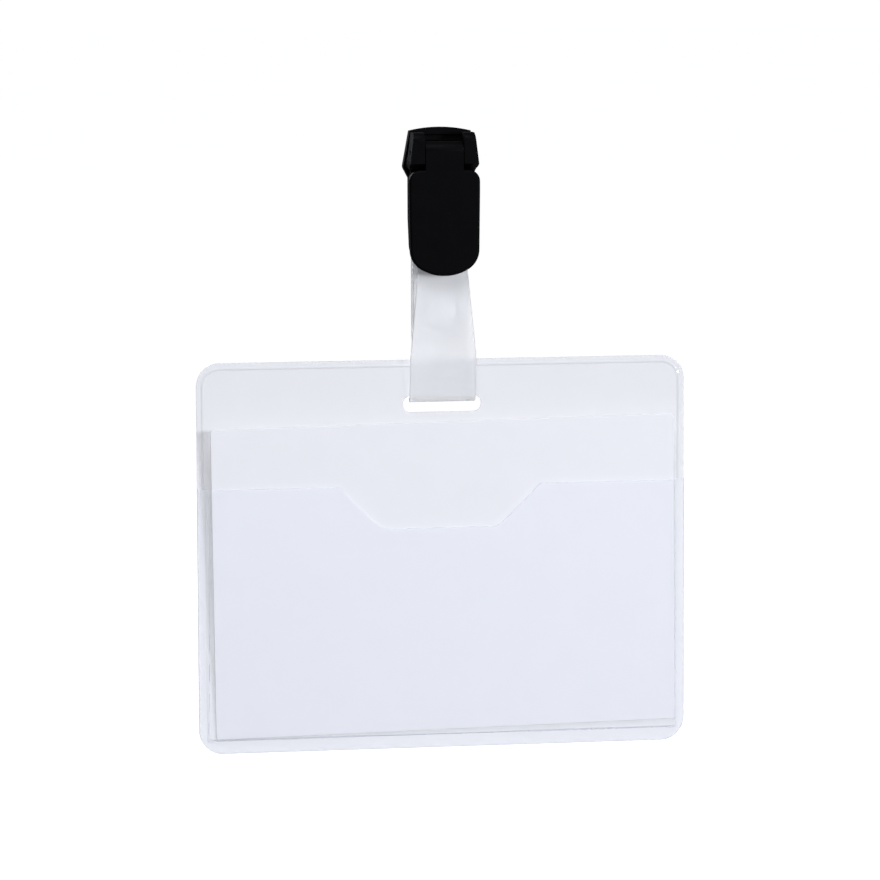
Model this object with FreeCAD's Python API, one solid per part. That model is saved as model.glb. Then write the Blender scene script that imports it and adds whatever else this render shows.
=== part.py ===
import FreeCAD, Part
import math
import os

# A lanyard badge holder, hanging upright from its clip. The front faces -Y, +X is to the right and
# +Z is up. The origin is in the middle of the clip's mouth, on the face of the rear jaw.
# All sizes are in millimetres.

Vector = FreeCAD.Vector
SIDEWAYS = Vector(1, 0, 0)
REARWARD = Vector(0, 1, 0)

# Holder: two clear films welded together along the sides and the bottom
HOLDER_WIDTH = 95.0
HOLDER_HEIGHT = 75.3
HOLDER_CORNER = 4.5
HOLDER_TOP = -44.5
BACK_THICKNESS = 0.35
FRONT_THICKNESS = 0.30
SIDE_WELD = 1.4
BOTTOM_WELD = 2.5
POCKET_HEIGHT = 51.3
BEAD_WIDTH = 0.5
BEAD_HEIGHT = 0.12

# Slot for the strap and thumb notch in the pocket's mouth
SLOT_WIDTH = 15.2
SLOT_HEIGHT = 3.1
SLOT_DROP = 7.0
NOTCH_SHIFT = -0.8
NOTCH_TOP_WIDTH = 39.0
NOTCH_BOTTOM_WIDTH = 22.8
NOTCH_DEPTH = 8.2
NOTCH_CORNER = 1.5
NOTCH_OVERRUN = 1.0

# Insert card, which leans forward in the pocket and lies a little askew in it
CARD_WIDTH = 90.0
CARD_HEIGHT = 60.0
CARD_THICKNESS = 0.25
CARD_GAP = 0.1
CARD_LEAN = 2.4
CARD_SKEW = 0.9
CARD_SIDE_SHIFT = 0.8
CARD_RISE = 3.5

# Clip base: a rear plate with two ears for the lever and a round bar for the strap
PLATE_THICKNESS = 1.8
PLATE_HALF_WIDTH = 6.1
PLATE_BOTTOM = -17.5
HEAD_TOP_HALF_WIDTH = 5.8
HEAD_ARCH_RADIUS = 26.0
JAW_HALF_WIDTH = 7.2
JAW_WIDEST = -7.6
JAW_BOTTOM = -9.7
EAR_TOP = -0.9
EAR_FRONT = -5.5
EAR_HALF_WIDTH = 6.75
EAR_INNER_HALF_WIDTH = 3.8
EAR_SWEEP_RADIUS = 3.3
EAR_OVERHANG = 0.4
MOUTH_GAP = 1.3
MOUTH_BOTTOM = -5.6
RIB_HEIGHT = 2.2
ARM_WIDTH = 1.0
ARM_END_RADIUS = 1.6
BAR_Y = -0.9
BAR_Z = -22.0
BAR_RADIUS = 0.8

# Lever: cam and neck between the ears, with a broad tongue below them
PIVOT_Y = -3.6
PIVOT_Z = -4.4
PIN_RADIUS = 0.75
PIN_HALF_LENGTH = 6.2
PIN_CLEARANCE = 0.05
NECK_HALF_WIDTH = 3.65
NECK_RADIUS = 1.9
CAM_RADIUS = 2.85
TONGUE_TOP = -8.0
TONGUE_BOTTOM = -28.2
TONGUE_TOP_HALF_WIDTH = 6.85
TONGUE_LOW_HALF_WIDTH = 6.65
TONGUE_END_HALF_WIDTH = 2.0
TONGUE_END_HEIGHT = 2.2
TONGUE_SHOULDER = 2.2
TONGUE_ROOT_THICKNESS = 1.8
TONGUE_TIP_THICKNESS = 1.3
TONGUE_EDGE = 0.45
JAW_RIDGE_HEIGHT = 0.25
JAW_RIDGE_PITCH = 1.1
JAW_RIDGES = 4
JAW_RIDGE_MIDDLE = -3.0
JAW_RIDGE_ROOT = 0.1

# Strap: one strip, looped over the bar and through the slot, with its ends overlapping at the rear
STRAP_THICKNESS = 0.8
STRAP_BAR_HALF_WIDTH = 4.8
STRAP_REAR_HALF_WIDTH = 5.3
STRAP_TONGUE_HALF_WIDTH = 4.85
STRAP_SLOT_HALF_WIDTH = 6.45
STRAP_INNER_RADIUS = 1.0
BEND_HALF_GAP = 0.45
BEND_RADIUS = 0.35
BEND_CLEARANCE = 0.35
FRONT_SWELL = 1.65
FRONT_SWELL_RADIUS = 15.0
REAR_SWELL = 1.1
REAR_SWELL_RADIUS = 4.0
TAIL_TURN = 11.8
TAIL_TURN_RADIUS = 3.0
INNER_LEG_END = 11.0
OUTER_LEG_END = 20.0

# Popper on the rear run, as heights along +Y from the middle plane of the strap
POPPER_RISE = 16.0
POPPER_SHANK = 0.7
POST_RADIUS = 3.0
POST_HEIGHT = 0.6
STUD_FLANGE = 0.4
STUD_RADIUS = 1.7
STUD_HEIGHT = 0.9
SOCKET_RADIUS = 3.1
SOCKET_WALL = 0.2
SOCKET_CLEARANCE = 0.05
SOCKET_STAND_OFF = 0.1
CAP_RADIUS = 3.8
CAP_HEIGHT = 0.9
CAP_RIM = 0.35

# A length beyond the whole clip, for shapes that only cut or limit others
FAR = 30.0

SLOT_TOP = HOLDER_TOP - SLOT_DROP
HOLDER_BOTTOM = HOLDER_TOP - HOLDER_HEIGHT
MOUTH_TOP = HOLDER_BOTTOM + POCKET_HEIGHT
FILM_FRONT = BAR_Y - BACK_THICKNESS / 2
FILM_REAR = BAR_Y + BACK_THICKNESS / 2
POPPER_Z = SLOT_TOP + POPPER_RISE
INNER_LEG_FACE = STRAP_INNER_RADIUS + STRAP_THICKNESS
POPPER_GAP = STUD_FLANGE + STUD_HEIGHT + SOCKET_WALL + SOCKET_CLEARANCE
OUTER_LEG_FACE = INNER_LEG_FACE + POPPER_GAP


def unit(vector):
    """The vector scaled to length one."""
    return vector.normalize() if vector.Length else vector


def outline_edges(corners, place):
    """Closed outline through corners (u, v) or (u, v, radius), put in space by place(u, v)."""
    points = [place(c[0], c[1]) for c in corners]
    radii = [c[2] if len(c) > 2 else 0.0 for c in corners]
    stretches = []
    for i, (point, radius) in enumerate(zip(points, radii)):
        if radius == 0.0:
            stretches.append((point, None, point))
            continue
        back = unit(points[i - 1] - point)
        ahead = unit(points[(i + 1) % len(points)] - point)
        half_angle = back.getAngle(ahead) / 2
        reach = radius / math.tan(half_angle)
        inward = unit(back + ahead)
        middle = point + inward * (radius / math.sin(half_angle) - radius)
        stretches.append((point + back * reach, middle, point + ahead * reach))
    edges = []
    for i, (start, middle, end) in enumerate(stretches):
        if middle is not None:
            edges.append(Part.Arc(start, middle, end).toShape())
        following = stretches[(i + 1) % len(stretches)][0]
        if end.distanceToPoint(following) > 1e-6:
            edges.append(Part.makeLine(end, following))
    return edges


def side_prism(corners, x_low, x_high):
    """Solid with a side-view outline of (y, z) corners, from x_low to x_high."""
    edges = outline_edges(corners, lambda y, z: Vector(x_low, y, z))
    return Part.Face(Part.Wire(edges)).extrude(SIDEWAYS * (x_high - x_low))


def front_prism(corners, y_low, y_high):
    """Solid with a front-view outline of (x, z) corners, from y_low to y_high."""
    edges = outline_edges(corners, lambda x, z: Vector(x, y_low, z))
    return Part.Face(Part.Wire(edges)).extrude(REARWARD * (y_high - y_low))


def mirrored_outline(right_side):
    """Front-view outline symmetric about x = 0, from the corners of its right half, top to bottom."""
    left_side = [(-c[0], *c[1:]) for c in reversed(right_side)]
    return right_side + left_side


def disc(radius, y_low, y_high):
    """Round solid along Y, on the popper's axis."""
    return Part.makeCylinder(radius, y_high - y_low, Vector(0, y_low, POPPER_Z), REARWARD)


def block(half_width, y_low, y_high, z_low, z_high):
    """Rectangular solid, centred on x = 0."""
    corner = Vector(-half_width, y_low, z_low)
    return Part.makeBox(2 * half_width, y_high - y_low, z_high - z_low, corner)


def rod(radius, half_length, y, z):
    """Round solid along X, centred on x = 0."""
    return Part.makeCylinder(radius, 2 * half_length, Vector(-half_length, y, z), SIDEWAYS)


def fused(first, *others):
    """The shapes joined into one, with no seams left between them."""
    return first.fuse(list(others)).removeSplitter()


def offset_path(path, distance):
    """Open path of (u, v, radius) corners moved sideways, to the right of its travel if positive."""
    ends = [Vector(u, v, 0) for u, v, _ in path]
    moved = []
    for start, end in zip(ends, ends[1:]):
        along = unit(end - start)
        shift = Vector(along.y, -along.x, 0) * distance
        moved.append((start + shift, along))
    result = [(*moved[0][0][:2], 0.0)]
    for (start, along), (other, onward), corner in zip(moved, moved[1:], path[1:]):
        turn = along.x * onward.y - along.y * onward.x
        gap = other - start
        reach = (gap.x * onward.y - gap.y * onward.x) / turn
        meeting = start + along * reach
        growth = distance if turn > 0 else -distance
        result.append((meeting.x, meeting.y, corner[2] + growth))
    last = moved[-1][0] + (ends[-1] - ends[-2])
    result.append((last.x, last.y, 0.0))
    return result


def make_back_film():
    """Back film with the strap's slot and, above the pocket, the weld's raised bead."""
    half = HOLDER_WIDTH / 2
    corner = HOLDER_CORNER
    sheet_outline = mirrored_outline([(half, HOLDER_TOP, corner), (half, HOLDER_BOTTOM, corner)])
    sheet = front_prism(sheet_outline, FILM_FRONT, FILM_REAR)

    def bead_outline(inset):
        side = half - inset
        radius = corner - inset
        top = HOLDER_TOP - inset
        bottom = HOLDER_BOTTOM + inset
        return mirrored_outline([(side, top, radius), (side, bottom, radius)])

    bead_front = FILM_FRONT - BEAD_HEIGHT
    bead = front_prism(bead_outline(SIDE_WELD - BEAD_WIDTH), bead_front, FILM_FRONT)
    bead = bead.cut(front_prism(bead_outline(SIDE_WELD), bead_front, FILM_FRONT))
    above_pocket = front_prism(
        mirrored_outline([(half, HOLDER_TOP), (half, MOUTH_TOP)]), bead_front, FILM_FRONT
    )
    slot_half = SLOT_WIDTH / 2
    slot_radius = SLOT_HEIGHT / 2 - 0.001
    slot = front_prism(
        mirrored_outline(
            [
                (slot_half, SLOT_TOP, slot_radius),
                (slot_half, SLOT_TOP - SLOT_HEIGHT, slot_radius),
            ]
        ),
        bead_front,
        FILM_REAR,
    )
    return fused(sheet, bead.common(above_pocket)).cut(slot)


def pocket_wedge(wall):
    """The card's space in the pocket, grown by a wall; it deepens upward with the card's lean."""
    lean = math.radians(CARD_LEAN)
    floor = HOLDER_BOTTOM + BOTTOM_WELD - wall
    depth = CARD_THICKNESS + 2 * CARD_GAP + wall / math.cos(lean) - wall * math.tan(lean)
    top_depth = depth + (MOUTH_TOP - floor) * math.tan(lean)
    half = HOLDER_WIDTH / 2 - SIDE_WELD + wall
    profile = [
        (FILM_FRONT, floor),
        (FILM_FRONT - depth, floor),
        (FILM_FRONT - top_depth, MOUTH_TOP),
        (FILM_FRONT, MOUTH_TOP),
    ]
    return side_prism(profile, -half, half)


def make_front_film():
    """Pocket film: a flange welded to the back film, and a shallow tray that leans forward."""
    half = HOLDER_WIDTH / 2
    flange_outline = mirrored_outline([(half, MOUTH_TOP), (half, HOLDER_BOTTOM, HOLDER_CORNER)])
    flange = front_prism(flange_outline, FILM_FRONT - FRONT_THICKNESS, FILM_FRONT)
    tray = fused(flange, pocket_wedge(FRONT_THICKNESS)).cut(pocket_wedge(0.0))
    notch_outline = mirrored_outline(
        [
            (NOTCH_TOP_WIDTH / 2 + NOTCH_OVERRUN, MOUTH_TOP + NOTCH_OVERRUN),
            (NOTCH_BOTTOM_WIDTH / 2, MOUTH_TOP - NOTCH_DEPTH, NOTCH_CORNER),
        ]
    )
    notch = front_prism(notch_outline, FILM_FRONT - FAR, FILM_FRONT)
    notch.translate(SIDEWAYS * NOTCH_SHIFT)
    return tray.cut(notch)


def make_insert_card():
    """Plain card, turned a little askew in its own plane and leaning forward with the pocket."""
    size = Vector(-CARD_WIDTH / 2, -CARD_THICKNESS, 0)
    card = Part.makeBox(CARD_WIDTH, CARD_THICKNESS, CARD_HEIGHT, size)
    card.rotate(Vector(0, 0, 0), REARWARD, -CARD_SKEW)
    card.rotate(Vector(0, 0, 0), SIDEWAYS, CARD_LEAN)
    card.translate(Vector(CARD_SIDE_SHIFT, FILM_FRONT - CARD_GAP, HOLDER_BOTTOM + CARD_RISE))
    return card


def strap_path():
    """Inner face of the strap as (y, z, radius): rear leg, over the bar, down, slot, rear tail."""
    top = BAR_Z + STRAP_INNER_RADIUS
    bottom = SLOT_TOP - BEND_CLEARANCE
    above_holder = HOLDER_TOP + 0.5
    bar_radius = STRAP_INNER_RADIUS - 0.001
    path = [
        (STRAP_INNER_RADIUS, SLOT_TOP + INNER_LEG_END, 0.0),
        (STRAP_INNER_RADIUS, top, bar_radius),
        (-STRAP_INNER_RADIUS, top, bar_radius),
        (-FRONT_SWELL, above_holder, FRONT_SWELL_RADIUS),
        (-BEND_HALF_GAP, bottom, BEND_RADIUS),
        (BEND_HALF_GAP, bottom, BEND_RADIUS),
        (REAR_SWELL, above_holder, REAR_SWELL_RADIUS),
        (OUTER_LEG_FACE, SLOT_TOP + TAIL_TURN, TAIL_TURN_RADIUS),
        (OUTER_LEG_FACE, SLOT_TOP + OUTER_LEG_END, 0.0),
    ]
    return [(BAR_Y + y, z, radius) for y, z, radius in path]


def make_strap():
    """Strap cut from a bent ribbon: narrow at the bar, widest where it goes through the slot."""
    inner = strap_path()
    outer = offset_path(inner, STRAP_THICKNESS)
    ribbon = side_prism(inner + outer[::-1], -FAR, FAR)

    above = BAR_Z + FAR
    below = SLOT_TOP - FAR
    below_bar = BAR_Z - 2.5
    side_round = 4.0
    front_outline = mirrored_outline(
        [
            (STRAP_BAR_HALF_WIDTH, above),
            (STRAP_BAR_HALF_WIDTH, below_bar, side_round),
            (STRAP_TONGUE_HALF_WIDTH, TONGUE_BOTTOM, side_round),
            (STRAP_SLOT_HALF_WIDTH, HOLDER_TOP - 1.0, side_round),
            (STRAP_SLOT_HALF_WIDTH, below),
        ]
    )
    rear_outline = mirrored_outline(
        [
            (STRAP_BAR_HALF_WIDTH, above),
            (STRAP_BAR_HALF_WIDTH, below_bar),
            (STRAP_REAR_HALF_WIDTH, below_bar - 1.5),
            (STRAP_REAR_HALF_WIDTH, HOLDER_TOP, side_round),
            (STRAP_SLOT_HALF_WIDTH, SLOT_TOP + 2.0, 1.0),
            (STRAP_SLOT_HALF_WIDTH, below),
        ]
    )
    tail_outline = mirrored_outline(
        [
            (STRAP_REAR_HALF_WIDTH, SLOT_TOP + OUTER_LEG_END, STRAP_REAR_HALF_WIDTH - 0.5),
            (STRAP_REAR_HALF_WIDTH, below),
        ]
    )
    tail_start = BAR_Y + INNER_LEG_FACE + POPPER_GAP / 2
    front = ribbon.common(front_prism(front_outline, BAR_Y - FAR, BAR_Y))
    rear = ribbon.common(front_prism(rear_outline, BAR_Y, tail_start))
    tail = ribbon.common(front_prism(tail_outline, tail_start, BAR_Y + FAR))
    strap = fused(front, rear, tail)
    return strap.cut(disc(POPPER_SHANK, BAR_Y, BAR_Y + FAR))


def make_popper():
    """The popper's four pieces: post and stud on the inner leg, socket and cap on the tail."""
    inner_face = BAR_Y + STRAP_INNER_RADIUS
    stud_base = BAR_Y + INNER_LEG_FACE
    ball_base = stud_base + STUD_FLANGE
    ball_top = ball_base + STUD_HEIGHT
    socket_rear = BAR_Y + OUTER_LEG_FACE
    socket_floor = socket_rear - SOCKET_WALL
    cap_base = socket_rear + STRAP_THICKNESS

    post = fused(
        disc(POST_RADIUS, inner_face - POST_HEIGHT, inner_face),
        disc(POPPER_SHANK, inner_face - POST_HEIGHT, ball_top),
    )
    stud = fused(
        disc(POST_RADIUS, stud_base, ball_base),
        disc(STUD_RADIUS, ball_base, ball_top),
    ).cut(disc(POPPER_SHANK, stud_base, ball_top))
    socket = disc(SOCKET_RADIUS, ball_base + SOCKET_STAND_OFF, socket_rear)
    socket = socket.cut(disc(STUD_RADIUS + SOCKET_CLEARANCE, ball_base, socket_floor))
    socket = socket.cut(disc(POPPER_SHANK, socket_floor, socket_rear))
    rim = disc(CAP_RADIUS, cap_base, cap_base + CAP_RIM)
    dome_rise = CAP_HEIGHT - CAP_RIM
    dome_radius = (CAP_RADIUS**2 + dome_rise**2) / (2 * dome_rise)
    dome_centre = Vector(0, cap_base + CAP_HEIGHT - dome_radius, POPPER_Z)
    dome = Part.makeSphere(dome_radius, dome_centre)
    dome = dome.common(disc(CAP_RADIUS, cap_base + CAP_RIM, cap_base + CAP_HEIGHT))
    cap = fused(rim, dome, disc(POPPER_SHANK, socket_floor, cap_base))
    return {
        "popper_post": post,
        "popper_stud": stud,
        "popper_socket": socket,
        "popper_cap": cap,
    }


def jaw_ridges():
    """Small sharp ridges across the rear jaw's face."""
    half_length = HEAD_TOP_HALF_WIDTH - 0.3
    rows = []
    for i in range(JAW_RIDGES):
        z = JAW_RIDGE_MIDDLE + (i - (JAW_RIDGES - 1) / 2) * JAW_RIDGE_PITCH
        foot = JAW_RIDGE_HEIGHT
        profile = [(JAW_RIDGE_ROOT, z - foot), (JAW_RIDGE_ROOT, z + foot), (-JAW_RIDGE_HEIGHT, z)]
        rows.append(side_prism(profile, -half_length, half_length))
    return rows


def head_shape(half_width, widest, bottom, y_low, y_high):
    """Slice of the clip's head: an arched top, and sides that spread and then draw in to the plate."""
    outline = mirrored_outline(
        [
            (HEAD_TOP_HALF_WIDTH, 0.0),
            (half_width, widest, 1.2),
            (PLATE_HALF_WIDTH, bottom),
        ]
    )
    arch_centre = Vector(0, y_low, -HEAD_ARCH_RADIUS)
    arch = Part.makeCylinder(HEAD_ARCH_RADIUS, y_high - y_low, arch_centre, REARWARD)
    return front_prism(outline, y_low, y_high).common(arch)


def make_clip_base():
    """Rear jaw plate with two ears, side ribs, and arms that hold the strap's bar."""
    ear_bottom = PIVOT_Z - EAR_SWEEP_RADIUS
    foot = ear_bottom - EAR_OVERHANG
    jaw = head_shape(JAW_HALF_WIDTH, JAW_WIDEST, JAW_BOTTOM, 0.0, PLATE_THICKNESS)

    arc_start = math.sqrt(EAR_SWEEP_RADIUS**2 - (EAR_FRONT - PIVOT_Y) ** 2)
    ear_profile = [
        (-MOUTH_GAP, EAR_TOP, 0.4),
        (EAR_FRONT, EAR_TOP, 1.6),
        (EAR_FRONT, PIVOT_Z - arc_start + 0.3),
        (PIVOT_Y + 1.0, foot),
        (PLATE_THICKNESS, foot),
        (PLATE_THICKNESS, MOUTH_BOTTOM),
        (-MOUTH_GAP, MOUTH_BOTTOM, 0.5),
    ]
    ear_space = side_prism(ear_profile, -FAR, FAR)
    below_pivot = block(FAR, PIVOT_Y - FAR, PIVOT_Y, PIVOT_Z - FAR, PIVOT_Z)
    beyond_sweep = below_pivot.cut(rod(EAR_SWEEP_RADIUS, FAR, PIVOT_Y, PIVOT_Z))
    channel = block(EAR_INNER_HALF_WIDTH, -FAR, 0.0, -FAR, FAR)
    ears = head_shape(EAR_HALF_WIDTH, ear_bottom, foot, EAR_FRONT, PLATE_THICKNESS)
    ears = ears.common(ear_space).cut(beyond_sweep).cut(channel)

    inner = PLATE_HALF_WIDTH - ARM_WIDTH
    plate_outline = mirrored_outline(
        [(PLATE_HALF_WIDTH, MOUTH_BOTTOM), (PLATE_HALF_WIDTH, PLATE_BOTTOM, 0.5)]
    )
    plate = front_prism(plate_outline, 0.0, PLATE_THICKNESS)
    rib_profile = [
        (0.2, MOUTH_BOTTOM - 1.0),
        (-RIB_HEIGHT, ear_bottom),
        (-RIB_HEIGHT, PLATE_BOTTOM, 2.0),
        (BAR_Y - ARM_END_RADIUS, BAR_Z, 0.5),
        (BAR_Y, BAR_Z),
        (BAR_Y + ARM_END_RADIUS, BAR_Z, 0.5),
        (PLATE_THICKNESS, PLATE_BOTTOM, 1.0),
        (PLATE_THICKNESS, MOUTH_BOTTOM - 1.0),
    ]
    arm_end = rod(ARM_END_RADIUS, PLATE_HALF_WIDTH, BAR_Y, BAR_Z)
    arms = fused(side_prism(rib_profile, -PLATE_HALF_WIDTH, PLATE_HALF_WIDTH), arm_end)
    arms = arms.cut(block(inner, -FAR, FAR, -FAR, FAR))
    bar = rod(BAR_RADIUS, PLATE_HALF_WIDTH - 0.5, BAR_Y, BAR_Z)
    base = fused(jaw, ears, plate, arms, bar, *jaw_ridges())
    return base.cut(rod(PIN_RADIUS, FAR, PIVOT_Y, PIVOT_Z))


def make_clip_lever():
    """Lever: a cam that presses cloth on the rear jaw, and the tongue that the thumb lifts."""
    neck = rod(NECK_RADIUS, NECK_HALF_WIDTH, PIVOT_Y, PIVOT_Z)
    cam = rod(CAM_RADIUS, NECK_HALF_WIDTH, PIVOT_Y, PIVOT_Z)
    cam_side = [
        (PIVOT_Y, PIVOT_Z + 1.5),
        (PIVOT_Y + 4.0, PIVOT_Z + 0.9),
        (PIVOT_Y + 4.0, PIVOT_Z - 4.0),
        (PIVOT_Y, PIVOT_Z - 3.0),
    ]
    cam = cam.common(side_prism(cam_side, -NECK_HALF_WIDTH, NECK_HALF_WIDTH))
    stem_profile = [
        (EAR_FRONT, PIVOT_Z),
        (EAR_FRONT, TONGUE_TOP - 1.0),
        (PIVOT_Y - 0.1, TONGUE_TOP - 1.0),
        (PIVOT_Y + 0.9, PIVOT_Z),
    ]
    stem = side_prism(stem_profile, -NECK_HALF_WIDTH, NECK_HALF_WIDTH)

    tongue_outline = mirrored_outline(
        [
            (TONGUE_TOP_HALF_WIDTH, TONGUE_TOP, TONGUE_SHOULDER),
            (TONGUE_TOP_HALF_WIDTH, TONGUE_TOP - 4.0, 8.0),
            (TONGUE_LOW_HALF_WIDTH, TONGUE_BOTTOM + TONGUE_END_HEIGHT, 4.4),
            (TONGUE_END_HALF_WIDTH, TONGUE_BOTTOM, 8.0),
        ]
    )
    tongue = front_prism(tongue_outline, EAR_FRONT, 0.0)
    thickness_profile = [
        (EAR_FRONT, TONGUE_TOP),
        (EAR_FRONT, TONGUE_BOTTOM),
        (EAR_FRONT + TONGUE_TIP_THICKNESS, TONGUE_BOTTOM),
        (EAR_FRONT + TONGUE_ROOT_THICKNESS, TONGUE_TOP),
    ]
    tongue = tongue.common(side_prism(thickness_profile, -FAR, FAR))
    front_edges = [
        edge
        for edge in tongue.Edges
        if edge.BoundBox.YMax < EAR_FRONT + 0.01 and edge.BoundBox.ZMin < TONGUE_TOP - 0.1
    ]
    tongue = tongue.makeFillet(TONGUE_EDGE, front_edges)
    lever = fused(neck, cam, stem, tongue)
    return lever.cut(rod(PIN_RADIUS + PIN_CLEARANCE, NECK_HALF_WIDTH, PIVOT_Y, PIVOT_Z))


def make_clip_pin():
    """Pivot pin, held tight in the ears and free in the lever."""
    return rod(PIN_RADIUS, PIN_HALF_LENGTH, PIVOT_Y, PIVOT_Z)


parts = {
    "clip_base": make_clip_base(),
    "clip_lever": make_clip_lever(),
    "clip_pin": make_clip_pin(),
    "strap": make_strap(),
    "back_film": make_back_film(),
    "front_film": make_front_film(),
    "insert_card": make_insert_card(),
    **make_popper(),
}

os.makedirs("parts", exist_ok=True)
for name, shape in parts.items():
    shape.exportStep(f"parts/{name}.step")
    print(f"{name}: {len(shape.Solids)} solid, valid {shape.isValid()}, {shape.Volume:.1f} mm3")
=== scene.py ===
import math

import bmesh
import bpy
from mathutils import Matrix, Vector


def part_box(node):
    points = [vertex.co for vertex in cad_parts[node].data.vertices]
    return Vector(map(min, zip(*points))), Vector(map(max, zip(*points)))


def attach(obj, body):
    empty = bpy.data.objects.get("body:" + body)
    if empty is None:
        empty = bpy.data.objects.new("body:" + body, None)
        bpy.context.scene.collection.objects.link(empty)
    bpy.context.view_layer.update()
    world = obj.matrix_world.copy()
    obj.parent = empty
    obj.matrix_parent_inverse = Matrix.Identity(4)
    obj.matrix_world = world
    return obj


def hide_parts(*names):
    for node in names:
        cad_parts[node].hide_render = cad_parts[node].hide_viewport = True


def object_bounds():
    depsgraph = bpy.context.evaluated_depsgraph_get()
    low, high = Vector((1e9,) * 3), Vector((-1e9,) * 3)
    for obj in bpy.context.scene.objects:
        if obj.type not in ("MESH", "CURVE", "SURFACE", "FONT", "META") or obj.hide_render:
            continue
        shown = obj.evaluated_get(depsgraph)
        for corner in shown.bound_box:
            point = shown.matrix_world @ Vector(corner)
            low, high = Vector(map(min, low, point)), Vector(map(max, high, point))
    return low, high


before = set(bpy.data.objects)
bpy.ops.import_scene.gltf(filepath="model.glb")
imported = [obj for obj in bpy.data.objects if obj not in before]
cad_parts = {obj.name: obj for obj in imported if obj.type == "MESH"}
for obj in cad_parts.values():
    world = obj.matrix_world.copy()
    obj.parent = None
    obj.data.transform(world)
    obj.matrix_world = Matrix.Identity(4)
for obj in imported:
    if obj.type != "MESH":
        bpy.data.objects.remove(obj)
CAD_LOW, CAD_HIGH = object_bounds()

# A lanyard badge holder hanging from its clip. The shapes are written in millimetres, and
# mesh_piece() turns them into metres. The front faces -Y and the origin is in the clip's mouth.
MM = 0.001

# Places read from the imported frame
FILM_LOW, FILM_HIGH = (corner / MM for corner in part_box("back_film"))
HOLDER_HALF = FILM_HIGH.x
HOLDER_TOP = FILM_HIGH.z
HOLDER_BOTTOM = FILM_LOW.z
FILM_REAR = FILM_HIGH.y
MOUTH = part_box("front_film")[1].z / MM
STRAP_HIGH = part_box("strap")[1] / MM

# Holder
HOLDER_CORNER = 4.5
BACK_THICKNESS = 0.35
FRONT_THICKNESS = 0.30
SIDE_WELD = 1.4
BOTTOM_WELD = 2.5
BEAD_INSET = 1.15
BEAD_HALF_WIDTH = 0.32
BEAD_CREST = 0.7 * BEAD_HALF_WIDTH
BEAD_HEIGHT = 0.12
BEAD_FADE = 0.6
SLOT_HALF = 7.6
SLOT_DROP = 7.0
SLOT_HEIGHT = 3.1
NOTCH_SHIFT = -0.8
NOTCH_TOP_HALF = 19.5
NOTCH_BOTTOM_HALF = 11.4
NOTCH_DEPTH = 8.2
NOTCH_ROUND = 0.9
POCKET_LEAN = math.tan(math.radians(2.4))
POCKET_FLOOR_DEPTH = 0.45
MOUTH_BOW = 0.3
WALL_FOOT = 0.4
WALL_MOUTH = 1.0
FLOOR_WALL = 0.25
WELD_GAP = 0.012
FILM_BEVEL = 0.08
FILM_FRONT = FILM_REAR - BACK_THICKNESS
SLOT_TOP = HOLDER_TOP - SLOT_DROP
SLOT_BOTTOM = SLOT_TOP - SLOT_HEIGHT
POCKET_FLOOR = HOLDER_BOTTOM + BOTTOM_WELD

# Card
CARD_WIDTH = 90.0
CARD_HEIGHT = 60.0
CARD_THICKNESS = 0.25
CARD_CORNER = 0.5
CARD_LEAN = 2.4
CARD_SKEW = 0.9
CARD_PLACE = Vector((0.8, FILM_FRONT - 0.1, HOLDER_BOTTOM + 3.5))
CARD_BEVEL = 0.05

# Clip, whose shapes are the CAD's
MOULDED_BEVEL = 0.18
PIN_BEVEL = 0.1

# Strap: its inner face as distances in y from the middle of its bar, and half its widths
BAR_Y = -0.9
BAR_Z = -22.0
STRAP_THICKNESS = 0.8
STRAP_ROUND = 0.28
STRAP_STEP = 0.6
LEG_FACE = 1.0
BAR_BEND = 0.999
FRONT_FACE = 1.65
FRONT_BEND = 15.0
SLOT_FACE = 0.45
SLOT_BEND = 0.35
REAR_FACE = 1.1
REAR_BEND = 4.0
TAIL_FACE = 3.35
TAIL_BEND = 3.0
TAIL_TOP = STRAP_HIGH.z
STRAP_WIDTHS = {"bar": 4.8, "tongue": 4.85, "rear": 5.3, "slot": 6.45}
STRAP_SPREAD = -27.5
REAR_NARROWING = (-26.5, -24.0)

# Film and strap: the film's colour, how much of the lamps' light each piece lets through, how much
# the weld lines and the back film darken the film's colour (painted shade on the bent walls), and
# how hazy the back film is
FILM_COLOUR = (0.955, 0.96, 0.968)
FILM_LETS_THROUGH = (0.905, 0.91, 0.915)
EDGE_LETS_THROUGH = (0.9, 0.91, 0.94)
STRAP_LETS_THROUGH = (0.95, 0.955, 0.96)
WELD_AND_CREASE_SHADE_TINT = 0.93
BACK_TINT = 0.91
BACK_HAZE = 0.5

# Popper: its axis, and the radii of its shank, bore, post, stud, socket and cap
POPPER_Z = SLOT_TOP + 16.0
SHANK = 0.68
BORE = SHANK + 0.02
POST_RADIUS = 3.0
BALL_RADIUS = 1.7
GRIP_RADIUS = 1.75
SOCKET_RADIUS = 3.1
CAP_RADIUS = 3.8
POPPER_BEVEL = 0.12

# Camera: the angle, distance and picture width that frame the object
CAMERA_AZIMUTH = -9.5
CAMERA_ELEVATION = 6.1
CAMERA_ROLL = -0.23
CAMERA_DISTANCE = 900.0
CAMERA_TARGET = Vector((-0.4, -0.9, -60.1))
PICTURE_WIDTH = 169.3
SENSOR = 36.0

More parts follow.
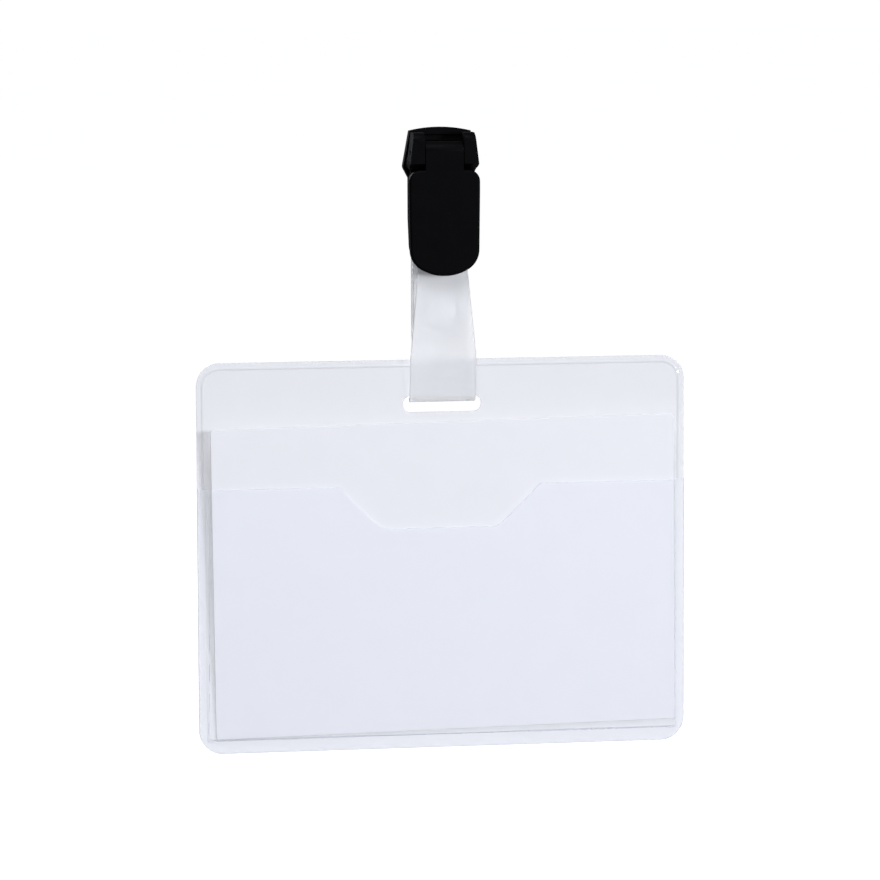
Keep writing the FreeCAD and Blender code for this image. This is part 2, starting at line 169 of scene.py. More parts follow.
# Studio, with its lengths in metres
FLOOR_HEIGHT = -0.2
FLOOR_HALF = 12.0
FLOOR_GLOW = 0.93
WHITE = (1.0, 1.0, 1.0, 1.0)
WHITE_STRENGTH = 1.05
AMBIENT = (0.90, 0.92, 1.0, 1.0)
AMBIENT_STRENGTH = 0.215
LAMP_COLOUR = (0.92, 0.93, 1.0)
LAMPS = {
    "key": {"direction": Vector((0.75, -1.0, 0.14)), "distance": 1.3, "size": 0.26, "power": 9.0},
    "top": {"direction": Vector((-0.1, -0.6, 1.0)), "distance": 1.1, "size": 0.7, "power": 8.4},
    "rear": {"direction": Vector((-0.5, 1.0, 0.5)), "distance": 1.2, "size": 0.6, "power": 6.0},
}


def smoothstep(value, low, high):
    """0 below low, 1 above high and a smooth rise between them."""
    t = min(max((value - low) / (high - low), 0.0), 1.0)
    return t * t * (3 - 2 * t)


def spread(start, end, count):
    """Evenly spaced values from start to end, both included."""
    return [start + (end - start) * i / count for i in range(count + 1)]


def chain(*stretches):
    """Sorted values of several (start, end, count) stretches, each value once."""
    values = {round(v, 5) for stretch in stretches for v in spread(*stretch)}
    return sorted(values)


# ---------------------------------------------------------------- meshes


def mesh_piece(name, vertices, faces, body, slot, materials, *nodes, paint=None):
    """A piece from vertices in millimetres that rides on a body and stands for the CAD nodes.
    paint gives the number of each face's material in the list of materials."""
    mesh = bpy.data.meshes.new(name)
    mesh.from_pydata([Vector(v) * MM for v in vertices], [], faces)
    for material in materials:
        mesh.materials.append(material)
    if paint:
        mesh.polygons.foreach_set("material_index", paint)
    work = bmesh.new()
    work.from_mesh(mesh)
    bmesh.ops.recalc_face_normals(work, faces=work.faces)
    work.to_mesh(mesh)
    work.free()
    mesh.shade_smooth()
    piece = bpy.data.objects.new(name, mesh)
    bpy.context.scene.collection.objects.link(piece)
    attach(piece, body)
    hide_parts(*nodes)
    return piece


def bevel(piece, width, segments=2, angle=35, rim=-1):
    """Rounds the piece's sharp edges; width is in millimetres."""
    modifier = piece.modifiers.new("rounded edges", "BEVEL")
    modifier.width = width * MM
    modifier.segments = segments
    modifier.limit_method = "ANGLE"
    modifier.angle_limit = math.radians(angle)
    modifier.harden_normals = True
    modifier.material = rim


def columns(xs, low, high, shares):
    """Quads (x, z) between the curves z = low(x) and z = high(x), split at the given shares."""
    lines = []
    for x in xs:
        bottom, top = low(x), high(x)
        lines.append([(x, bottom + (top - bottom) * share) for share in shares])
    quads = []
    for left, right in zip(lines, lines[1:]):
        for i in range(len(shares) - 1):
            quads.append((left[i], right[i], right[i + 1], left[i + 1]))
    return quads


def slab(quads, front, rear):
    """Closed sheet between y = front(x, z) and y = rear(x, z): vertices, faces, rim face count."""
    index = {}
    flat = []
    for quad in quads:
        corners = []
        for x, z in quad:
            key = (round(x, 4), round(z, 4))
            corner = index.setdefault(key, len(index))
            if corner not in corners:
                corners.append(corner)
        if len(corners) > 2:
            flat.append(corners)
    points = sorted(index, key=index.get)
    count = len(points)
    vertices = [(x, front(x, z), z) for x, z in points]
    vertices += [(x, rear(x, z), z) for x, z in points]
    edges = {}
    for corners in flat:
        for a, b in zip(corners, corners[1:] + corners[:1]):
            edges[(a, b)] = True
    faces = list(flat)
    faces += [[corner + count for corner in reversed(corners)] for corners in flat]
    rim = [[b, a, a + count, b + count] for a, b in edges if (b, a) not in edges]
    return vertices, faces + rim, len(rim)


def inset(x, z):
    """Distance of a point in the holder's front view from the holder's edge."""
    half_height = (HOLDER_TOP - HOLDER_BOTTOM) / 2
    across = abs(x) - (HOLDER_HALF - HOLDER_CORNER)
    along = abs(z - (HOLDER_TOP + HOLDER_BOTTOM) / 2) - (half_height - HOLDER_CORNER)
    outside = math.hypot(max(across, 0.0), max(along, 0.0))
    return HOLDER_CORNER - outside - min(max(across, along), 0.0)


def corner_drop(x):
    """How far the holder's rounded corners lower its edge at x."""
    over = max(abs(x) - (HOLDER_HALF - HOLDER_CORNER), 0.0)
    return HOLDER_CORNER - math.sqrt(max(HOLDER_CORNER**2 - over**2, 0.0))


def film_waves(x, z):
    """Slight unevenness of a flexible film, at most about 0.03 mm."""
    return 0.018 * math.sin(x * 0.11 + z * 0.05 + 0.6) + 0.012 * math.sin(z * 0.17 - x * 0.07)


def film_paint(vertices, faces, rim_faces, on_weld):
    """Material numbers of a film's faces: 0 clear, 1 cut edge, 2 weld line or bent wall; on the bent
    wall the darker tint is painted shade for the crease.
    """
    numbers = []
    for face in faces[:-rim_faces]:
        x = sum(vertices[i][0] for i in face) / len(face)
        z = sum(vertices[i][2] for i in face) / len(face)
        numbers.append(2 if on_weld(x, z) else 0)
    return numbers + [1] * rim_faces


def make_back_film(materials):
    """Rear sheet with its rounded corners, the strap's slot and the weld's raised bead."""
    slot_round = SLOT_HEIGHT / 2
    slot_middle = (SLOT_TOP + SLOT_BOTTOM) / 2
    edge = HOLDER_HALF
    near = HOLDER_HALF - HOLDER_CORNER
    left = chain((-edge, -edge + 1.8, 18), (-edge + 1.8, -near, 10), (-near, -SLOT_HALF, 18))
    turn = [-SLOT_HALF + slot_round * (1 - math.cos(math.radians(a))) for a in range(0, 91, 9)]
    half = left + turn[1:] + chain((turn[-1], 0.0, 5))[1:]
    xs = half + [-x for x in reversed(half[:-1])]

    def slot_half_height(x):
        beyond = max(abs(x) - (SLOT_HALF - slot_round), 0.0)
        return math.sqrt(max(slot_round**2 - beyond**2, 0.0))

    lower = columns(
        xs,
        lambda x: HOLDER_BOTTOM + corner_drop(x),
        lambda x: slot_middle - slot_half_height(x),
        chain((0.0, 0.03, 12), (0.03, 0.97, 36), (0.97, 1.0, 6)),
    )
    upper = columns(
        xs,
        lambda x: slot_middle + slot_half_height(x),
        lambda x: HOLDER_TOP - corner_drop(x),
        chain((0.0, 0.1, 4), (0.1, 0.76, 8), (0.76, 1.0, 20)),
    )

    def front(x, z):
        side = abs(inset(x, z) - BEAD_INSET)
        bead = BEAD_HEIGHT * (1 - smoothstep(side, 0.0, BEAD_HALF_WIDTH))
        return FILM_FRONT - bead * smoothstep(z, MOUTH, MOUTH + BEAD_FADE)

    def on_bead(x, z):
        return z > MOUTH and abs(inset(x, z) - BEAD_INSET) < BEAD_CREST

    vertices, faces, rim_faces = slab(lower + upper, front, lambda x, z: FILM_REAR)
    piece = mesh_piece(
        "badge_back_film", vertices, faces, "holder", "clear_film", materials, "back_film",
        paint=film_paint(vertices, faces, rim_faces, on_bead),
    )
    bevel(piece, FILM_BEVEL, rim=1)


def notch_depth(x):
    """Depth of the thumb notch below the pocket's mouth, with softly rounded corners."""
    slope = NOTCH_DEPTH / (NOTCH_TOP_HALF - NOTCH_BOTTOM_HALF)
    cut = slope * (NOTCH_TOP_HALF - abs(x - NOTCH_SHIFT))

    def soft_positive(value):
        return (value + math.sqrt(value * value + NOTCH_ROUND**2)) / 2

    return min(NOTCH_DEPTH - soft_positive(NOTCH_DEPTH - cut) + NOTCH_ROUND / 8, NOTCH_DEPTH)


def make_front_film(materials):
    """Pocket film, welded round three sides, that stands off the back film for the card."""
    edge = HOLDER_HALF
    near = HOLDER_HALF - HOLDER_CORNER
    outer = NOTCH_TOP_HALF + 2.0
    inner = NOTCH_BOTTOM_HALF - 1.5
    margin = [(-edge, -edge + 1.2, 8), (-edge + 1.2, -edge + 2.8, 24), (-edge + 2.8, -near, 6)]
    left, right = NOTCH_SHIFT - outer, NOTCH_SHIFT + outer
    xs = chain(
        *margin,
        (-near, left, 16),
        (left, NOTCH_SHIFT - inner, 40),
        (NOTCH_SHIFT - inner, NOTCH_SHIFT + inner, 14),
        (NOTCH_SHIFT + inner, right, 40),
        (right, near, 16),
        *[(-end, -start, count) for start, end, count in margin],
    )

    def top(x):
        return MOUTH - (max(notch_depth(x), 0.0) if left < x < right else 0.0)

    quads = columns(
        xs,
        lambda x: HOLDER_BOTTOM + corner_drop(x),
        top,
        chain((0.0, 0.045, 6), (0.045, 0.06, 9), (0.06, 0.97, 40), (0.97, 1.0, 4)),
    )

    inner_half = HOLDER_HALF - SIDE_WELD

    def lifted(x, z):
        rise = z - POCKET_FLOOR
        share = max(rise, 0.0) / (MOUTH - POCKET_FLOOR)
        wall = WALL_FOOT + (WALL_MOUTH - WALL_FOOT) * share
        return smoothstep(inner_half - abs(x), 0.0, wall) * smoothstep(rise, 0.0, FLOOR_WALL)

    def on_wall(x, z):
        return 0.02 < lifted(x, z) < 0.98

    def stand_off(x, z):
        rise = z - POCKET_FLOOR
        share = min(max(rise / (MOUTH - POCKET_FLOOR), 0.0), 1.0)
        bow = MOUTH_BOW * share**2 * max(1 - (x / inner_half) ** 2, 0.0)
        depth = POCKET_FLOOR_DEPTH + rise * POCKET_LEAN + bow + film_waves(x, z) * share
        return WELD_GAP + max(depth, 0.0) * lifted(x, z)

    vertices, faces, rim_faces = slab(
        quads,
        lambda x, z: FILM_FRONT - stand_off(x, z) - FRONT_THICKNESS,
        lambda x, z: FILM_FRONT - stand_off(x, z),
    )
    # The pocket's bent walls take the darker tint: painted shade for the crease.
    piece = mesh_piece(
        "badge_front_film", vertices, faces, "holder", "clear_film", materials, "front_film",
        paint=film_paint(vertices, faces, rim_faces, on_wall),
    )
    bevel(piece, FILM_BEVEL, rim=1)


def make_card(material):
    """Blank paper card, a little askew and leaning forward in the pocket."""
    half = CARD_WIDTH / 2

    def corner(x):
        over = max(abs(x) - (half - CARD_CORNER), 0.0)
        return CARD_CORNER - math.sqrt(max(CARD_CORNER**2 - over**2, 0.0))

    side = chain((-half, -half + CARD_CORNER, 5), (-half + CARD_CORNER, 0.0, 24))
    xs = side + [-x for x in reversed(side[:-1])]
    quads = columns(xs, corner, lambda x: CARD_HEIGHT - corner(x), chain((0.0, 1.0, 32)))
    vertices, faces, _ = slab(quads, lambda x, z: -CARD_THICKNESS, lambda x, z: 0.0)
    turn = Matrix.Rotation(math.radians(CARD_LEAN), 3, "X")
    turn = turn @ Matrix.Rotation(math.radians(-CARD_SKEW), 3, "Y")
    placed = [turn @ Vector(v) + CARD_PLACE for v in vertices]
    piece = mesh_piece(
        "badge_insert_card", placed, faces, "card", "card_paper", [material], "insert_card"
    )
    bevel(piece, CARD_BEVEL)


def rounded_line(corners, step):
    """Points (y, z) along a line through corners (y, z, radius), its bends as arcs."""
    points = [Vector(corners[0][:2])]
    for before, corner, after in zip(corners, corners[1:], corners[2:]):
        place = Vector(corner[:2])
        back = (Vector(before[:2]) - place).normalized()
        ahead = (Vector(after[:2]) - place).normalized()
        half_angle = back.angle(ahead) / 2
        reach = corner[2] / math.tan(half_angle)
        centre = place + (back + ahead).normalized() * corner[2] / math.sin(half_angle)
        arm = place + back * reach - centre
        turn = math.pi - 2 * half_angle
        if back.x * ahead.y - back.y * ahead.x > 0:
            turn = -turn
        count = max(int(abs(turn) * 9), 4)
        points += [centre + Matrix.Rotation(turn * i / count, 2) @ arm for i in range(count + 1)]
    points.append(Vector(corners[-1][:2]))
    filled = [points[0]]
    for start, end in zip(points, points[1:]):
        count = max(math.ceil((end - start).length / step), 1)
        filled += [start.lerp(end, i / count) for i in range(1, count + 1)]
    return filled


def strap_line():
    """Inner face of the strap: rear leg, over the bar, front leg, slot and rear tail."""
    leg_end = SLOT_TOP + 11.0
    over_bar = BAR_Z + LEG_FACE
    bend = SLOT_TOP - SLOT_BEND
    above_holder = HOLDER_TOP + 0.5
    tail_start = SLOT_TOP + 11.8
    corners = [
        (LEG_FACE, leg_end, 0.0),
        (LEG_FACE, over_bar, BAR_BEND),
        (-LEG_FACE, over_bar, BAR_BEND),
        (-FRONT_FACE, above_holder, FRONT_BEND),
        (-SLOT_FACE, bend, SLOT_BEND),
        (SLOT_FACE, bend, SLOT_BEND),
        (REAR_FACE, above_holder, REAR_BEND),
        (TAIL_FACE, tail_start, TAIL_BEND),
        (TAIL_FACE, TAIL_TOP, 0.0),
    ]
    return rounded_line([(BAR_Y + y, z, radius) for y, z, radius in corners], STRAP_STEP)


def strap_half_width(y, z, tail):
    """Half the strap's width: narrow at the bar, widest in the slot, round at the tail's end.
    tail is true past the slot, on the rear run that ends in the tail."""
    bar, tongue, rear, slot = (STRAP_WIDTHS[k] for k in ("bar", "tongue", "rear", "slot"))
    if y < BAR_Y:
        spread_out = min(max((STRAP_SPREAD - z) / (STRAP_SPREAD - HOLDER_TOP), 0.0), 1.0)
        return tongue + (slot - tongue) * spread_out
    above_slot = slot + (rear - slot) * smoothstep(z, SLOT_TOP + 1.5, HOLDER_TOP + 0.5)
    if not tail:
        return rear + (bar - rear) * smoothstep(z, *REAR_NARROWING)
    over = max(z - (TAIL_TOP - rear), 0.0)
    return min(above_slot, math.sqrt(max(rear**2 - over**2, 0.3)))


def strap_section(half_width, thickness):
    """Rounded rectangle round (0, 0) as points (across, outward)."""
    flat = half_width - STRAP_ROUND
    rise = thickness / 2 - STRAP_ROUND
    points = []
    for quarter, (sx, sy) in enumerate([(1, 1), (-1, 1), (-1, -1), (1, -1)]):
        for i in range(5):
            angle = math.radians(90 * quarter + 22.5 * i)
            points.append((
                sx * flat + STRAP_ROUND * math.cos(angle),
                sy * rise + STRAP_ROUND * math.sin(angle),
            ))
        if quarter % 2 == 0:
            points += [(sx * flat - 2 * sx * flat * s / 8, sy * rise + sy * STRAP_ROUND)
                       for s in range(1, 8)]
    return points


def make_strap(material):
    """Milky vinyl strap, lofted along its line."""
    line = strap_line()
    lowest = min(range(len(line)), key=lambda i: line[i].y)
    vertices = []
    sections = []
    for i, point in enumerate(line):
        ahead = line[min(i + 1, len(line) - 1)]
        behind = line[max(i - 1, 0)]
        along = (ahead - behind).normalized()
        outward = Vector((along.y, -along.x))
        middle = point + outward * STRAP_THICKNESS / 2
        width = strap_half_width(middle.x, middle.y, i > lowest)
        section = strap_section(width, STRAP_THICKNESS)
        start = len(vertices)
        for across, out in section:
            place = middle + outward * out
            vertices.append((across, place.x, place.y))
        sections.append(range(start, len(vertices)))
    faces = []
    for low, high in zip(sections, sections[1:]):
        for j in range(len(low)):
            k = (j + 1) % len(low)
            faces.append((low[j], low[k], high[k], high[j]))
    faces.append(list(sections[0]))
    faces.append(list(sections[-1]))
    piece = mesh_piece(
        "popper_strap", vertices, faces, "strap_loop", "strap_vinyl", [material], "strap"
    )
    piece.data.set_sharp_from_angle(angle=math.radians(50))


def lathe(node, outline, material, sides=64):
    """Solid of revolution round the popper's axis from a closed outline of (radius, y)."""
    vertices = []
    rings = []
    for radius, y in outline:
        start = len(vertices)
        steps = sides if radius > 0 else 1
        for i in range(steps):
            angle = 2 * math.pi * i / sides
            vertices.append((radius * math.cos(angle), y, POPPER_Z + radius * math.sin(angle)))
        rings.append([start + (i % steps) for i in range(sides)])
    faces = []
    for low, high in zip(rings, rings[1:] + rings[:1]):
        for i in range(sides):
            j = (i + 1) % sides
            corners = list(dict.fromkeys((low[i], low[j], high[j], high[i])))
            if len(corners) > 2:
                faces.append(corners)
    piece = mesh_piece(
        node + "_piece", vertices, faces, "strap_loop", "popper_plastic", [material], node
    )
    bevel(piece, POPPER_BEVEL, 3, 40)


def make_popper(material):
    """The popper's four moulded pieces, on one axis through the strap's rear run."""
    inner_face = BAR_Y + LEG_FACE
    stud_base = inner_face + STRAP_THICKNESS
    ball_base = stud_base + 0.4
    ball_top = ball_base + 0.9
    socket_rear = BAR_Y + TAIL_FACE
    socket_floor = socket_rear - 0.2
    cap_base = socket_rear + STRAP_THICKNESS
    rim_top = cap_base + 0.35
    lathe("popper_post", [
        (0.0, inner_face - 0.6), (2.2, inner_face - 0.6), (POST_RADIUS, inner_face - 0.3),
        (POST_RADIUS, inner_face), (SHANK, inner_face), (SHANK, ball_top), (0.0, ball_top),
    ], material)
    lathe("popper_stud", [
        (BORE, stud_base), (POST_RADIUS, stud_base), (POST_RADIUS, ball_base),
        (1.5, ball_base), (BALL_RADIUS, ball_base + 0.5), (1.45, ball_top), (BORE, ball_top),
    ], material)
    lathe("popper_socket", [
        (BORE, socket_rear), (SOCKET_RADIUS, socket_rear), (SOCKET_RADIUS, socket_floor),
        (2.5, ball_base + 0.1), (GRIP_RADIUS, ball_base + 0.1), (GRIP_RADIUS, socket_floor),
        (BORE, socket_floor),
    ], material)
    lathe("popper_cap", [
        (0.0, rim_top + 0.55), (1.0, rim_top + 0.52), (2.0, rim_top + 0.42),
        (2.8, rim_top + 0.27), (3.2, rim_top + 0.1), (3.35, rim_top), (CAP_RADIUS, rim_top - 0.02),
        (CAP_RADIUS, cap_base), (SHANK, cap_base), (SHANK, socket_floor), (0.0, socket_floor),
    ], material)


# ---------------------------------------------------------------- materials


class Shader:
    """A material's node tree, with short calls for nodes and links."""

    def __init__(self, name):
        self.material = bpy.data.materials.new(name)
        self.material.use_nodes = True
        self.tree = self.material.node_tree
        self.tree.nodes.clear()
        self.place = self.add("ShaderNodeTexCoord").outputs["Object"]

    def add(self, kind, settings=(), **inputs):
        """A node with its settings and its inputs, which are values or other nodes' outputs."""
        node = self.tree.nodes.new(kind)
        for key, value in dict(settings).items():
            setattr(node, key, value)
        for key, value in inputs.items():
            socket = node.inputs[int(key[1:])] if key[0] == "i" and key[1:].isdigit() \
                else node.inputs[key.replace("_", " ")]
            if isinstance(value, bpy.types.NodeSocket):
                self.tree.links.new(value, socket)
            else:
                socket.default_value = value
        return node

    def noise(self, size, detail=3.0, stretch=(1, 1, 1)):
        """Noise with features of the given size in millimetres, from 0 to 1."""
        place = self.add("ShaderNodeMapping", Vector=self.place, Scale=stretch).outputs[0]
        noise = self.add("ShaderNodeTexNoise", Vector=place, Scale=1 / (size * MM), Detail=detail)
        return noise.outputs["Fac"]

    def ramp(self, value, low, high):
        """The value, which runs from 0.3 to 0.7 or so, spread from low to high."""
        return self.add(
            "ShaderNodeMapRange", Value=value, From_Min=0.3, From_Max=0.7, To_Min=low, To_Max=high
        ).outputs[0]

    def mix_colour(self, share, first, second):
        """Colour between the first, at share 0, and the second, at share 1."""
        node = self.tree.nodes.new("ShaderNodeMix")
        node.data_type = "RGBA"
        self.tree.links.new(share, node.inputs["Factor"])
        node.inputs[6].default_value = (*first, 1.0)
        node.inputs[7].default_value = (*second, 1.0)
        return node.outputs[2]

    def bump(self, height, depth, normal=None):
        """Bump of the given depth in millimetres."""
        node = self.add("ShaderNodeBump", Height=height, Distance=depth * MM)
        if normal is not None:
            self.tree.links.new(normal, node.inputs["Normal"])
        return node.outputs[0]

    def finish(self, shader):
        """Ends the tree with this shader and gives the material."""
        out = self.add("ShaderNodeOutputMaterial")
        self.tree.links.new(shader, out.inputs["Surface"])
        return self.material


def clip_plastic():
    """Black moulded plastic with a fine spark-eroded grain and slightly lighter patches spread at
    random.
    """
    s = Shader("clip plastic")
    grain = s.noise(0.16, 4.0)
    patches = s.noise(3.0, 3.0)
    colour = s.mix_colour(patches, (0.0010, 0.0010, 0.0012), (0.0022, 0.0022, 0.0026))
    normal = s.bump(s.noise(2.4, 2.0), 0.02, s.bump(grain, 0.012))
    shader = s.add(
        "ShaderNodeBsdfPrincipled",
        Base_Color=colour,
        Roughness=s.ramp(grain, 0.42, 0.62),
        Specular_IOR_Level=0.035,
        Normal=normal,
    )
    return s.finish(shader.outputs[0])


def pin_steel():
    """Drawn steel with fine lines round the pin."""
    s = Shader("pin steel")
    lines = s.noise(0.1, 2.0, (1.0, 0.05, 0.05))
    shader = s.add(
        "ShaderNodeBsdfPrincipled",
        Base_Color=s.mix_colour(lines, (0.42, 0.42, 0.43), (0.62, 0.62, 0.63)),
        Metallic=1.0,
        Roughness=s.ramp(lines, 0.22, 0.38),
        Normal=s.bump(lines, 0.003),
    )
    return s.finish(shader.outputs[0])


def shadow_lets_through(s, shader, colour, share):
    """The shader, but a share of the lamps' light passes through it, tinted. The share is a
    number or a node's output."""
    is_shadow = s.add("ShaderNodeLightPath").outputs["Is Shadow Ray"]
    if share != 1.0:
        is_shadow = s.add(
            "ShaderNodeMath", {"operation": "MULTIPLY"}, i0=is_shadow, i1=share
        ).outputs[0]
    clear = s.add("ShaderNodeBsdfTransparent", Color=(*colour, 1.0))
    return s.add("ShaderNodeMixShader", i0=is_shadow, i1=shader, i2=clear.outputs[0]).outputs[0]


def clear_film(name, tint, haze):
    """Soft PVC film, glossy and a little uneven; tint darkens its colour and haze makes it milky."""
    s = Shader(name)
    normal = s.bump(s.noise(9.0, 2.0), 0.02, s.bump(s.noise(1.2, 3.0), 0.0006))
    film = s.add(
        "ShaderNodeBsdfPrincipled",
        Base_Color=(*(part * tint for part in FILM_COLOUR), 1.0),
        Roughness=s.ramp(s.noise(2.5, 4.0), 0.01, 0.05),
        IOR=1.0,
        Transmission_Weight=1.0 - haze,
        Coat_Weight=1.0,
        Coat_IOR=1.5,
        Coat_Roughness=0.04,
        Coat_Normal=normal,
    )
    return s.finish(shadow_lets_through(s, film.outputs[0], FILM_LETS_THROUGH, 1.0 - haze / 2))


def film_edge():
    """Cut and rounded edge of the film, milky as a cut edge is, with its grey colour partly painted
    light and shade for the light that gathers and bends at a film's edge.
    """
    s = Shader("film edge")
    cut = s.noise(0.2, 3.0)
    shader = s.add(
        "ShaderNodeBsdfPrincipled",
        Base_Color=s.mix_colour(cut, (0.58, 0.60, 0.65), (0.68, 0.70, 0.75)),
        Roughness=s.ramp(cut, 0.2, 0.35),
        IOR=1.2,
        Transmission_Weight=0.45,
        Coat_Weight=0.3,
        Coat_IOR=1.5,
        Coat_Roughness=0.1,
        Normal=s.bump(cut, 0.004),
    )
    return s.finish(shadow_lets_through(s, shader.outputs[0], EDGE_LETS_THROUGH, 1.0))


def strap_vinyl():
    """Milky soft vinyl with a faint matt grain and cloudy patches."""
    s = Shader("strap vinyl")
    clouds = s.noise(4.0, 3.0)
    grain = s.noise(0.25, 3.0)
    shader = s.add(
        "ShaderNodeBsdfPrincipled",
        Base_Color=s.mix_colour(clouds, (0.86, 0.865, 0.86), (0.92, 0.925, 0.915)),
        Roughness=s.ramp(grain, 0.12, 0.24),
        IOR=1.3,
        Transmission_Weight=0.55,
        Normal=s.bump(clouds, 0.03, s.bump(grain, 0.006)),
    )
    facing = s.add("ShaderNodeLayerWeight", Blend=0.35).outputs["Facing"]
    share = s.add(
        "ShaderNodeMapRange", Value=facing, From_Min=0.15, From_Max=0.45, To_Min=0.84, To_Max=0.2
    ).outputs[0]
    return s.finish(shadow_lets_through(s, shader.outputs[0], STRAP_LETS_THROUGH, share))


def popper_plastic():
    """Natural white nylon, waxy and smooth."""
    s = Shader("popper plastic")
    flow = s.noise(2.0, 3.0, (1.0, 1.0, 0.5))
    shader = s.add(
        "ShaderNodeBsdfPrincipled",
        Base_Color=s.mix_colour(flow, (0.78, 0.79, 0.79), (0.86, 0.86, 0.855)),
        Roughness=s.ramp(s.noise(0.3), 0.3, 0.42),
        Subsurface_Weight=0.25,
        Subsurface_Radius=(0.0012, 0.0011, 0.001),
        Subsurface_Scale=1.0,
        Normal=s.bump(s.noise(0.3), 0.004),
    )
    return s.finish(shader.outputs[0])


def card_paper():
    """Uncoated white card with faint fibres."""
    s = Shader("card paper")
    fibres = s.noise(0.35, 5.0, (0.35, 1.0, 1.0))
    mottle = s.noise(5.0, 3.0)
    shader = s.add(
        "ShaderNodeBsdfPrincipled",
        Base_Color=s.mix_colour(mottle, (0.875, 0.88, 0.885), (0.90, 0.902, 0.905)),
        Roughness=s.ramp(fibres, 0.72, 0.88),
        Specular_IOR_Level=0.25,
        Normal=s.bump(fibres, 0.008),
    )
    return s.finish(shader.outputs[0])


# ---------------------------------------------------------------- studio


def plane(name, centre, across, up, material):
    """Flat stage object, with its half sides as vectors."""
    corners = [
        centre - across - up, centre + across - up, centre + across + up, centre - across + up,
    ]
    mesh = bpy.data.meshes.new(name)
    mesh.from_pydata(corners, [], [(0, 1, 2, 3)])
    mesh.materials.append(material)
    thing = bpy.data.objects.new(name, mesh)
    bpy.context.scene.collection.objects.link(thing)


def seen_directly(tree):
    """1 on what the camera sees, also through clear pieces, and 0 on what lights the object."""
    path = tree.nodes.new("ShaderNodeLightPath")
    either = tree.nodes.new("ShaderNodeMath")
    either.operation = "MAXIMUM"
    tree.links.new(path.outputs["Is Camera Ray"], either.inputs[0])
    tree.links.new(path.outputs["Is Transmission Ray"], either.inputs[1])
    before_diffuse = tree.nodes.new("ShaderNodeMath")
    before_diffuse.operation = "LESS_THAN"
    tree.links.new(path.outputs["Diffuse Depth"], before_diffuse.inputs[0])
    before_diffuse.inputs[1].default_value = 0.5
    both = tree.nodes.new("ShaderNodeMath")
    both.operation = "MULTIPLY"
    tree.links.new(either.outputs[0], both.inputs[0])
    tree.links.new(before_diffuse.outputs[0], both.inputs[1])
    return both.outputs[0]


def make_floor():
    """Pale floor, bright enough to look white, with soft shadows."""
    s = Shader("floor")
    diffuse = s.add("ShaderNodeBsdfDiffuse", Color=(0.35, 0.35, 0.36, 1.0))
    strength = s.add(
        "ShaderNodeMath", {"operation": "MULTIPLY"}, i0=seen_directly(s.tree), i1=FLOOR_GLOW
    )
    glow = s.add("ShaderNodeEmission", Strength=strength.outputs[0])
    both = s.add("ShaderNodeAddShader", i0=diffuse.outputs[0], i1=glow.outputs[0])
    centre = Vector((0.0, 0.0, FLOOR_HEIGHT))
    across, up = Vector((FLOOR_HALF, 0, 0)), Vector((0, FLOOR_HALF, 0))
    plane("floor", centre, across, up, s.finish(both.outputs[0]))


def make_lamps():
    """Key from the front right, and larger, softer lamps from above and from behind."""
    target = (CAD_LOW + CAD_HIGH) / 2
    for name, facts in LAMPS.items():
        lamp = bpy.data.lights.new(name, "AREA")
        lamp.shape = "DISK"
        lamp.size = facts["size"]
        lamp.energy = facts["power"]
        lamp.color = LAMP_COLOUR
        thing = bpy.data.objects.new(name, lamp)
        thing.location = target + facts["direction"].normalized() * facts["distance"]
        thing.rotation_euler = (target - thing.location).to_track_quat("-Z", "Y").to_euler()
        thing.visible_camera = False
        thing.visible_transmission = False
        bpy.context.scene.collection.objects.link(thing)


def make_world():
    """World that is white to look at and dimmer as a fill."""
    world = bpy.data.worlds.new("studio")
    world.use_nodes = True
    tree = world.node_tree
    tree.nodes.clear()
    fill = tree.nodes.new("ShaderNodeBackground")
    fill.inputs["Color"].default_value = AMBIENT
    fill.inputs["Strength"].default_value = AMBIENT_STRENGTH
    white = tree.nodes.new("ShaderNodeBackground")
    white.inputs["Color"].default_value = WHITE
    white.inputs["Strength"].default_value = WHITE_STRENGTH
    mixed = tree.nodes.new("ShaderNodeMixShader")
    tree.links.new(seen_directly(tree), mixed.inputs[0])
    tree.links.new(fill.outputs[0], mixed.inputs[1])
    tree.links.new(white.outputs[0], mixed.inputs[2])
    out = tree.nodes.new("ShaderNodeOutputWorld")
    tree.links.new(mixed.outputs[0], out.inputs["Surface"])
    bpy.context.scene.world = world


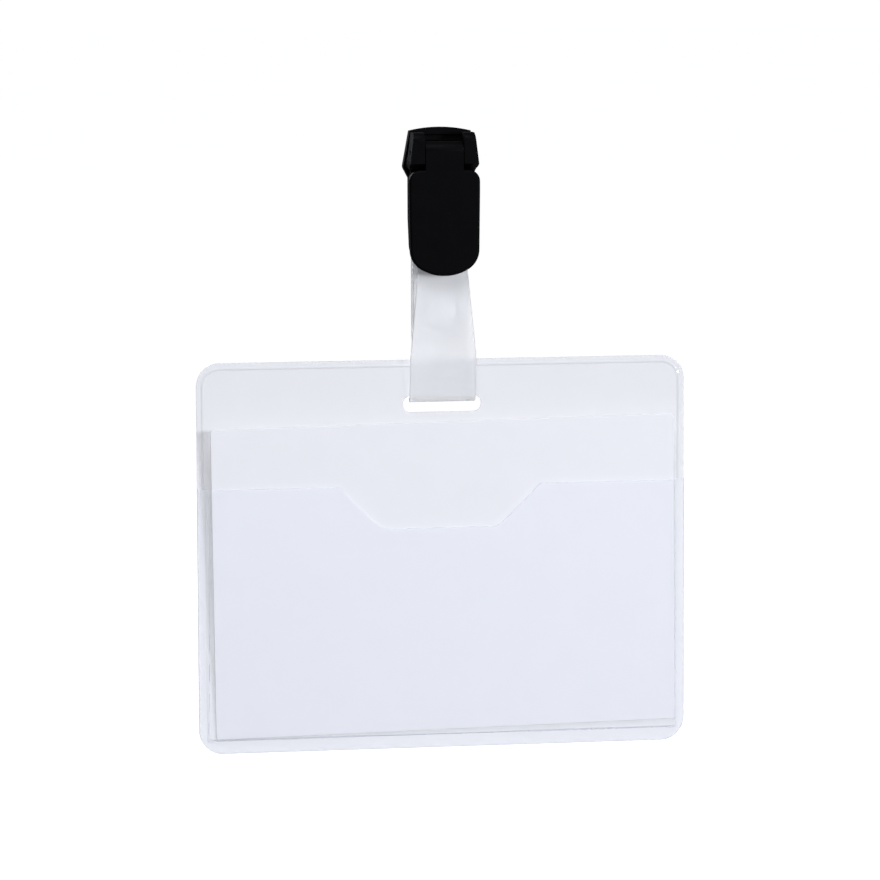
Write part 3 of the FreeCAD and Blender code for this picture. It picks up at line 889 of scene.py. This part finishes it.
def make_camera():
    """Camera at the photograph's angle, with a long lens."""
    azimuth, elevation, roll = (
        math.radians(a) for a in (CAMERA_AZIMUTH, CAMERA_ELEVATION, CAMERA_ROLL)
    )
    forward = Vector((
        -math.sin(azimuth) * math.cos(elevation),
        math.cos(azimuth) * math.cos(elevation),
        -math.sin(elevation),
    ))
    level = Vector((math.cos(azimuth), math.sin(azimuth), 0.0))
    upright = level.cross(forward)
    right = level * math.cos(roll) + upright * math.sin(roll)
    up = upright * math.cos(roll) - level * math.sin(roll)
    data = bpy.data.cameras.new("camera")
    data.sensor_width = SENSOR
    data.lens = SENSOR * CAMERA_DISTANCE / PICTURE_WIDTH
    data.clip_start = 0.01
    data.clip_end = 50.0
    camera = bpy.data.objects.new("camera", data)
    place = (CAMERA_TARGET - forward * CAMERA_DISTANCE) * MM
    axes = Matrix((right, up, -forward)).transposed().to_4x4()
    camera.matrix_world = Matrix.Translation(place) @ axes
    bpy.context.scene.collection.objects.link(camera)
    bpy.context.scene.camera = camera


def finish_cad_node(name, material, width):
    """Gives a carried-over CAD node its material and rounds its edges; width is in millimetres."""
    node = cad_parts[name]
    node.data.materials.clear()
    node.data.materials.append(material)
    weld = node.modifiers.new("joined corners", "WELD")
    weld.merge_threshold = 0.002 * MM
    bevel(node, width, 3, 30)


make_camera()
make_lamps()
make_world()
make_floor()

plastic = clip_plastic()
edge = film_edge()
# The front film's darker material sits on the bent walls, as painted shade for the crease.
front_films = [clear_film("clear film", 1.0, 0.0), edge, clear_film("painted crease shade film", WELD_AND_CREASE_SHADE_TINT, 0.0)]
back_films = [
    clear_film("hazy film", BACK_TINT, BACK_HAZE),
    edge,
    clear_film("hazy weld", BACK_TINT * WELD_AND_CREASE_SHADE_TINT, BACK_HAZE),
]
finish_cad_node("clip_base", plastic, MOULDED_BEVEL)
finish_cad_node("clip_lever", plastic, MOULDED_BEVEL)
finish_cad_node("clip_pin", pin_steel(), PIN_BEVEL)
make_strap(strap_vinyl())
make_popper(popper_plastic())
make_back_film(back_films)
make_front_film(front_films)
make_card(card_paper())

bpy.context.scene.view_settings.view_transform = "Standard"
